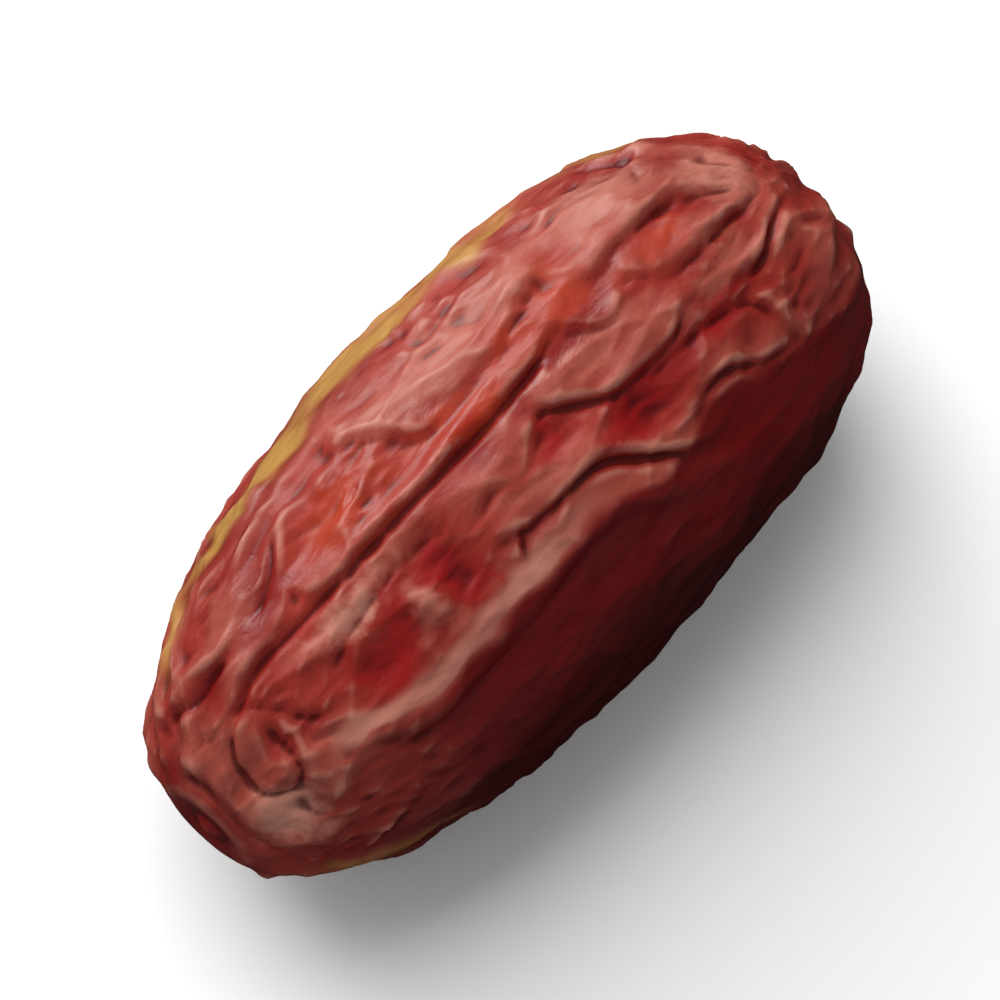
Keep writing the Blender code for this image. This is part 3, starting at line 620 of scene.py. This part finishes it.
def ragged_group():
    """Object coordinates pushed about by noise, so that what is drawn with them has ragged edges."""
    group, given, result = new_group(
        "Ragged place",
        (("Push", "Float", 0.002), ("Scale", "Float", 260.0)),
        (("Place", "Vector"),),
    )
    place = add(group, "TexCoord").outputs["Object"]
    noise = add(group, "TexNoise", {"Vector": place, "Scale": given["Scale"], "Detail": 5.0,
                                    "Roughness": 0.6})
    centred = add(group, "VectorMath", {0: noise.outputs["Color"], 1: (0.5, 0.5, 0.5)}, operation="SUBTRACT")
    pushed = add(group, "VectorMath", {0: centred.outputs[0], "Scale": given["Push"]}, operation="SCALE")
    moved = add(group, "VectorMath", {0: place, 1: pushed.outputs[0]}, operation="ADD")
    group.links.new(moved.outputs[0], result["Place"])
    return group


def mottle_group():
    """Cloudy colour: noise drawn out along the fruit picks between two colours."""
    group, given, result = new_group(
        "Mottled skin",
        (("Dark", "Color", (0.1, 0.01, 0.01, 1.0)), ("Light", "Color", (0.2, 0.02, 0.01, 1.0)),
         ("Scale", "Float", 120.0)),
        (("Color", "Color"), ("Cloud", "Float")),
    )
    place = add(group, "TexCoord").outputs["Object"]
    drawn = add(group, "VectorMath", {0: place, 1: (0.45, 1.0, 1.0)}, operation="MULTIPLY")
    noise = add(group, "TexNoise", {"Vector": drawn.outputs[0], "Scale": given["Scale"], "Detail": 6.0,
                                    "Roughness": 0.6, "Distortion": 0.4})
    cloud = add(group, "MapRange", {"Value": noise.outputs[0], "From Min": 0.36, "From Max": 0.64})
    colour = add(group, "Mix", {"Factor": cloud.outputs["Result"], "A": given["Dark"], "B": given["Light"]},
                 data_type="RGBA")
    group.links.new(colour.outputs["Result"], result["Color"])
    group.links.new(cloud.outputs["Result"], result["Cloud"])
    return group


def grain_group():
    """Height of the finest skin grain: noise drawn out along the fruit."""
    group, given, result = new_group(
        "Skin grain",
        (("Scale", "Float", 900.0), ("Stretch", "Float", 0.55)),
        (("Height", "Float"),),
    )
    place = add(group, "TexCoord").outputs["Object"]
    along = add(group, "CombineXYZ", {"X": given["Stretch"], "Y": 1.0, "Z": 1.0})
    drawn = add(group, "VectorMath", {0: place, 1: along.outputs[0]}, operation="MULTIPLY")
    noise = add(group, "TexNoise", {"Vector": drawn.outputs[0], "Scale": given["Scale"], "Detail": 3.0,
                                    "Roughness": 0.55, "Distortion": 0.6})
    group.links.new(noise.outputs[0], result["Height"])
    return group


# Colours of the dried skin: the darkest painted shade, in the creases and low on the shaded side; the
# hollows;
# the painted shade of the lower side; the two that mottle the rest; the two where it stands off the flesh and
# lets light through; dull bloom with painted sheen; painted highlights with scuffs; and thin amber skin, with
# painted glow of light through it
DARKEST_SHADE = (0.055, 0.0006, 0.0010, 1.0)
CRIMSON = (0.25, 0.003, 0.004, 1.0)
SHADE_WINE = (0.14, 0.0005, 0.0010, 1.0)
BROWN_RED = (0.18, 0.008, 0.007, 1.0)
WARM_RED = (0.29, 0.024, 0.014, 1.0)
ORANGE = (0.36, 0.034, 0.010, 1.0)
RUST = (0.27, 0.012, 0.003, 1.0)
DUST_AND_SHEEN = (0.36, 0.092, 0.062, 1.0)
HIGHLIGHT_AND_SCUFF = (0.48, 0.20, 0.145, 1.0)
AMBER = (0.44, 0.25, 0.055, 1.0)

# Each patch: colour, strength, then along, across, half length and half width in the picture, in mm
# The dull patches are dull bloom with painted sheen, and the amber one is thin skin with painted glow
# The pale patches are painted highlights and sheen; the one at -19.4 lights a spot the folds shade
PATCHES = (
    (CRIMSON, 0.95, -10.0, -0.9, 3.6, 2.0),
    (CRIMSON, 0.95, -3.8, -0.4, 1.9, 2.4),
    (CRIMSON, 0.95, 9.0, -1.6, 4.0, 1.9),
    (CRIMSON, 0.80, 5.2, 0.6, 2.4, 1.2),
    (CRIMSON, 0.80, 14.0, -1.9, 4.6, 1.7),
    (ORANGE, 0.85, -5.5, 6.2, 6.5, 2.4),
    (ORANGE, 1.00, 2.5, 4.8, 9.5, 1.9),
    (RUST, 0.85, -1.0, 4.5, 10.5, 1.3),
    (RUST, 0.60, 5.5, 5.2, 4.0, 1.5),
    (ORANGE, 0.70, 10.8, 5.4, 2.6, 2.2),
    (ORANGE, 0.75, 16.5, 3.9, 4.8, 1.6),
    (DUST_AND_SHEEN, 0.60, -8.5, 2.3, 8.5, 1.7),
    (HIGHLIGHT_AND_SCUFF, 0.80, -9.6, 2.2, 3.6, 1.5),
    (DUST_AND_SHEEN, 0.60, 10.5, 1.6, 5.5, 1.6),
    (DUST_AND_SHEEN, 0.65, 17.5, 0.4, 4.5, 1.8),
    (DUST_AND_SHEEN, 0.55, 2.8, -0.6, 3.6, 1.1),
    (DUST_AND_SHEEN, 0.60, -6.4, -0.9, 1.5, 1.9),
    (HIGHLIGHT_AND_SCUFF, 0.95, -19.4, -2.8, 3.6, 2.9),
    (DUST_AND_SHEEN, 0.45, -20.5, 1.5, 3.0, 5.0),
    (DUST_AND_SHEEN, 0.50, -14.0, 6.6, 6.0, 1.8),
    (HIGHLIGHT_AND_SCUFF, 0.40, 4.0, 7.6, 8.0, 2.6),
    (HIGHLIGHT_AND_SCUFF, 0.45, 15.0, 7.6, 7.5, 2.8),
    (HIGHLIGHT_AND_SCUFF, 0.50, 21.3, 4.2, 2.8, 3.4),
    (AMBER, 0.45, 17.5, 9.4, 5.0, 2.6),
)

# Tints laid on the mottled skin before the patches, and those laid on after them: the measure of the skin
# that each follows, its values where the tint starts and where it is full, the greatest share, the colour
TINTS_UNDER = (
    # Dull bloom with painted sheen on the raised folds
    ("raised", 0.30, 1.2, 0.42, DUST_AND_SHEEN),
    ("raised", 0.10, -0.7, 0.85, CRIMSON),
    # Painted highlights on the crests, with some scuffing
    ("bend", 0.20, 1.3, 0.50, HIGHLIGHT_AND_SCUFF),
)
TINTS_OVER = (
    # Painted shade in the creases
    ("bend", -0.20, -1.2, 0.75, DARKEST_SHADE),
    # The painted highlight band above the lower crest
    ("band", 0.0, 1.0, 0.75, HIGHLIGHT_AND_SCUFF),
    # The painted shade of the lower side, also darkening the far side
    ("shade", 0.0, 1.0, 0.96, SHADE_WINE),
    # The darkest painted shade, low on the lower side
    ("deep", 0.0, 1.0, 0.92, DARKEST_SHADE),
    # The amber of the thin rims, with painted glow of light through them
    ("rim", 0.0, 1.0, 0.75, AMBER),
)
MOTTLE_SCALE = 230.0
RAGGED_PUSH = 6.0 * MM
GRAIN_STRENGTH = 0.7
GRAIN_DEPTH = 0.14 * MM
SMOOTHEST, ROUGHEST = 0.34, 0.50


def skin_material():
    """The mottled red-brown skin with its patches, paler on the folds with dull bloom, painted sheen and
    painted highlights, darker in the creases and on the lower side with painted shade, and with a satin
    gloss that varies with the mottling."""
    material = bpy.data.materials.new("date_skin")
    material.use_nodes = True
    tree = material.node_tree
    shader = tree.nodes["Principled BSDF"]
    mottle = add(tree, "Group", node_tree=mottle_group())
    mottle.inputs["Dark"].default_value = BROWN_RED
    mottle.inputs["Light"].default_value = WARM_RED
    mottle.inputs["Scale"].default_value = MOTTLE_SCALE
    colour = mottle.outputs["Color"]
    patch = patch_group()
    ragged = add(tree, "Group", node_tree=ragged_group())
    ragged.inputs["Push"].default_value = RAGGED_PUSH

    def patch_mask(along, across, half_length, half_width):
        """The mask of an ellipsoid centred where this place of the picture falls on the skin."""
        (centre_run, centre_angle), = on_skin(((along, across),), FACE_TURN)
        mask = add(tree, "Group", node_tree=patch)
        tree.links.new(ragged.outputs["Place"], mask.inputs["Place"])
        mask.inputs["Centre"].default_value = body_point(centre_run, centre_angle) + settled_by
        mask.inputs["Half Size"].default_value = np.array((half_length, half_width, half_width)) * MM
        return mask.outputs["Mask"]

    def tinted(colour, tint, share):
        """The colour mixed with the tint, by a share from 0 to 1."""
        return add(tree, "Mix", {"Factor": share, "A": colour, "B": tint}, data_type="RGBA").outputs["Result"]

    def tinted_by(colour, tints):
        """The colour mixed with each tint in turn, by an S-shaped rise of the measure that it follows."""
        for source, start, full, most, tint in tints:
            value = add(tree, "Attribute", attribute_name=source).outputs["Fac"]
            share = add(tree, "MapRange", {"Value": value, "From Min": start, "From Max": full,
                                           "To Max": most}, interpolation_type="SMOOTHSTEP")
            colour = tinted(colour, tint, share.outputs[0])
        return colour

    colour = tinted_by(colour, TINTS_UNDER)
    for tint, strength, *place in PATCHES:
        share = add(tree, "Math", {0: patch_mask(*place), 1: strength}, operation="MULTIPLY")
        colour = tinted(colour, tint, share.outputs[0])
    colour = tinted_by(colour, TINTS_OVER)
    tree.links.new(colour, shader.inputs["Base Color"])
    gloss = add(tree, "MapRange", {"Value": mottle.outputs["Cloud"], "To Min": SMOOTHEST,
                                   "To Max": ROUGHEST})
    tree.links.new(gloss.outputs["Result"], shader.inputs["Roughness"])
    grain = add(tree, "Group", node_tree=grain_group())
    bump = add(tree, "Bump", {"Height": grain.outputs["Height"], "Strength": GRAIN_STRENGTH,
                              "Distance": GRAIN_DEPTH})
    tree.links.new(bump.outputs["Normal"], shader.inputs["Normal"])
    shader.inputs["Specular IOR Level"].default_value = 0.38
    shader.inputs["Coat Weight"].default_value = 0.05
    shader.inputs["Coat Roughness"].default_value = 0.22
    return material


skin.data.materials.append(skin_material())

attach(skin, "root")
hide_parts("date_fruit")

# The floor
# A plain pale matt sheet, larger than the view. It throws back less light on the fruit than its colour
# would, and hardly shows in its gloss, so that the lower side is as dark as in the picture.
FLOOR_HALF = 2.0
FLOOR_GREY = 0.92
FLOOR_GREY_FOR = (("Is Diffuse Ray", 0.45), ("Is Glossy Ray", 0.02))

corners = [(-FLOOR_HALF, -FLOOR_HALF, 0), (FLOOR_HALF, -FLOOR_HALF, 0), (FLOOR_HALF, FLOOR_HALF, 0),
           (-FLOOR_HALF, FLOOR_HALF, 0)]
floor_mesh = bpy.data.meshes.new("floor")
floor_mesh.from_pydata(corners, [], [(0, 1, 2, 3)])
floor = bpy.data.objects.new("floor", floor_mesh)
bpy.context.scene.collection.objects.link(floor)
floor_material = bpy.data.materials.new("floor")
floor_material.use_nodes = True
floor_tree = floor_material.node_tree
floor_shader = floor_tree.nodes["Principled BSDF"]
rays = add(floor_tree, "LightPath").outputs
grey = FLOOR_GREY
for kind, grey_for_kind in FLOOR_GREY_FOR:
    grey = add(floor_tree, "Mix", {"Factor": rays[kind], "A": grey, "B": grey_for_kind}).outputs["Result"]
floor_tree.links.new(grey, floor_shader.inputs["Base Color"])
floor_shader.inputs["Roughness"].default_value = 0.8
floor_shader.inputs["Specular IOR Level"].default_value = 0.0
floor_mesh.materials.append(floor_material)

# The lights
# A large soft light over the fruit that doesn't show in its gloss, a lower one beyond it that does, and a
# pale sky all round.
SKY_STRENGTH = 0.42
SKY_STRENGTH_IN_GLOSS = 0.02


def area_light(name, direction, distance, size, power):
    """A square light at a distance in a direction from the fruit, facing it."""
    data = bpy.data.lights.new(name, "AREA")
    data.size = size
    data.energy = power
    light = bpy.data.objects.new(name, data)
    bpy.context.scene.collection.objects.link(light)
    way = np.array(direction) / np.linalg.norm(direction)
    light.location = LOOK_AT + distance * way
    light.rotation_euler = (math.acos(way[2]), 0.0, math.atan2(way[1], way[0]) + math.pi / 2)
    return light


overhead = area_light("overhead", direction=(0.15, 0.52, 0.84), distance=0.75, size=0.8, power=6.3)
overhead.visible_glossy = False
area_light("beyond", direction=(0.20, 0.92, 0.34), distance=0.7, size=0.42, power=3.1)

world = bpy.data.worlds.new("world")
world.use_nodes = True
sky = world.node_tree
in_gloss = add(sky, "LightPath").outputs["Is Glossy Ray"]
strength = add(sky, "MapRange", {"Value": in_gloss, "To Min": SKY_STRENGTH, "To Max": SKY_STRENGTH_IN_GLOSS})
sky.links.new(strength.outputs["Result"], sky.nodes["Background"].inputs["Strength"])
sky.nodes["Background"].inputs["Color"].default_value = (1.0, 1.0, 1.0, 1.0)
bpy.context.scene.world = world
bpy.context.scene.view_settings.view_transform = "Standard"
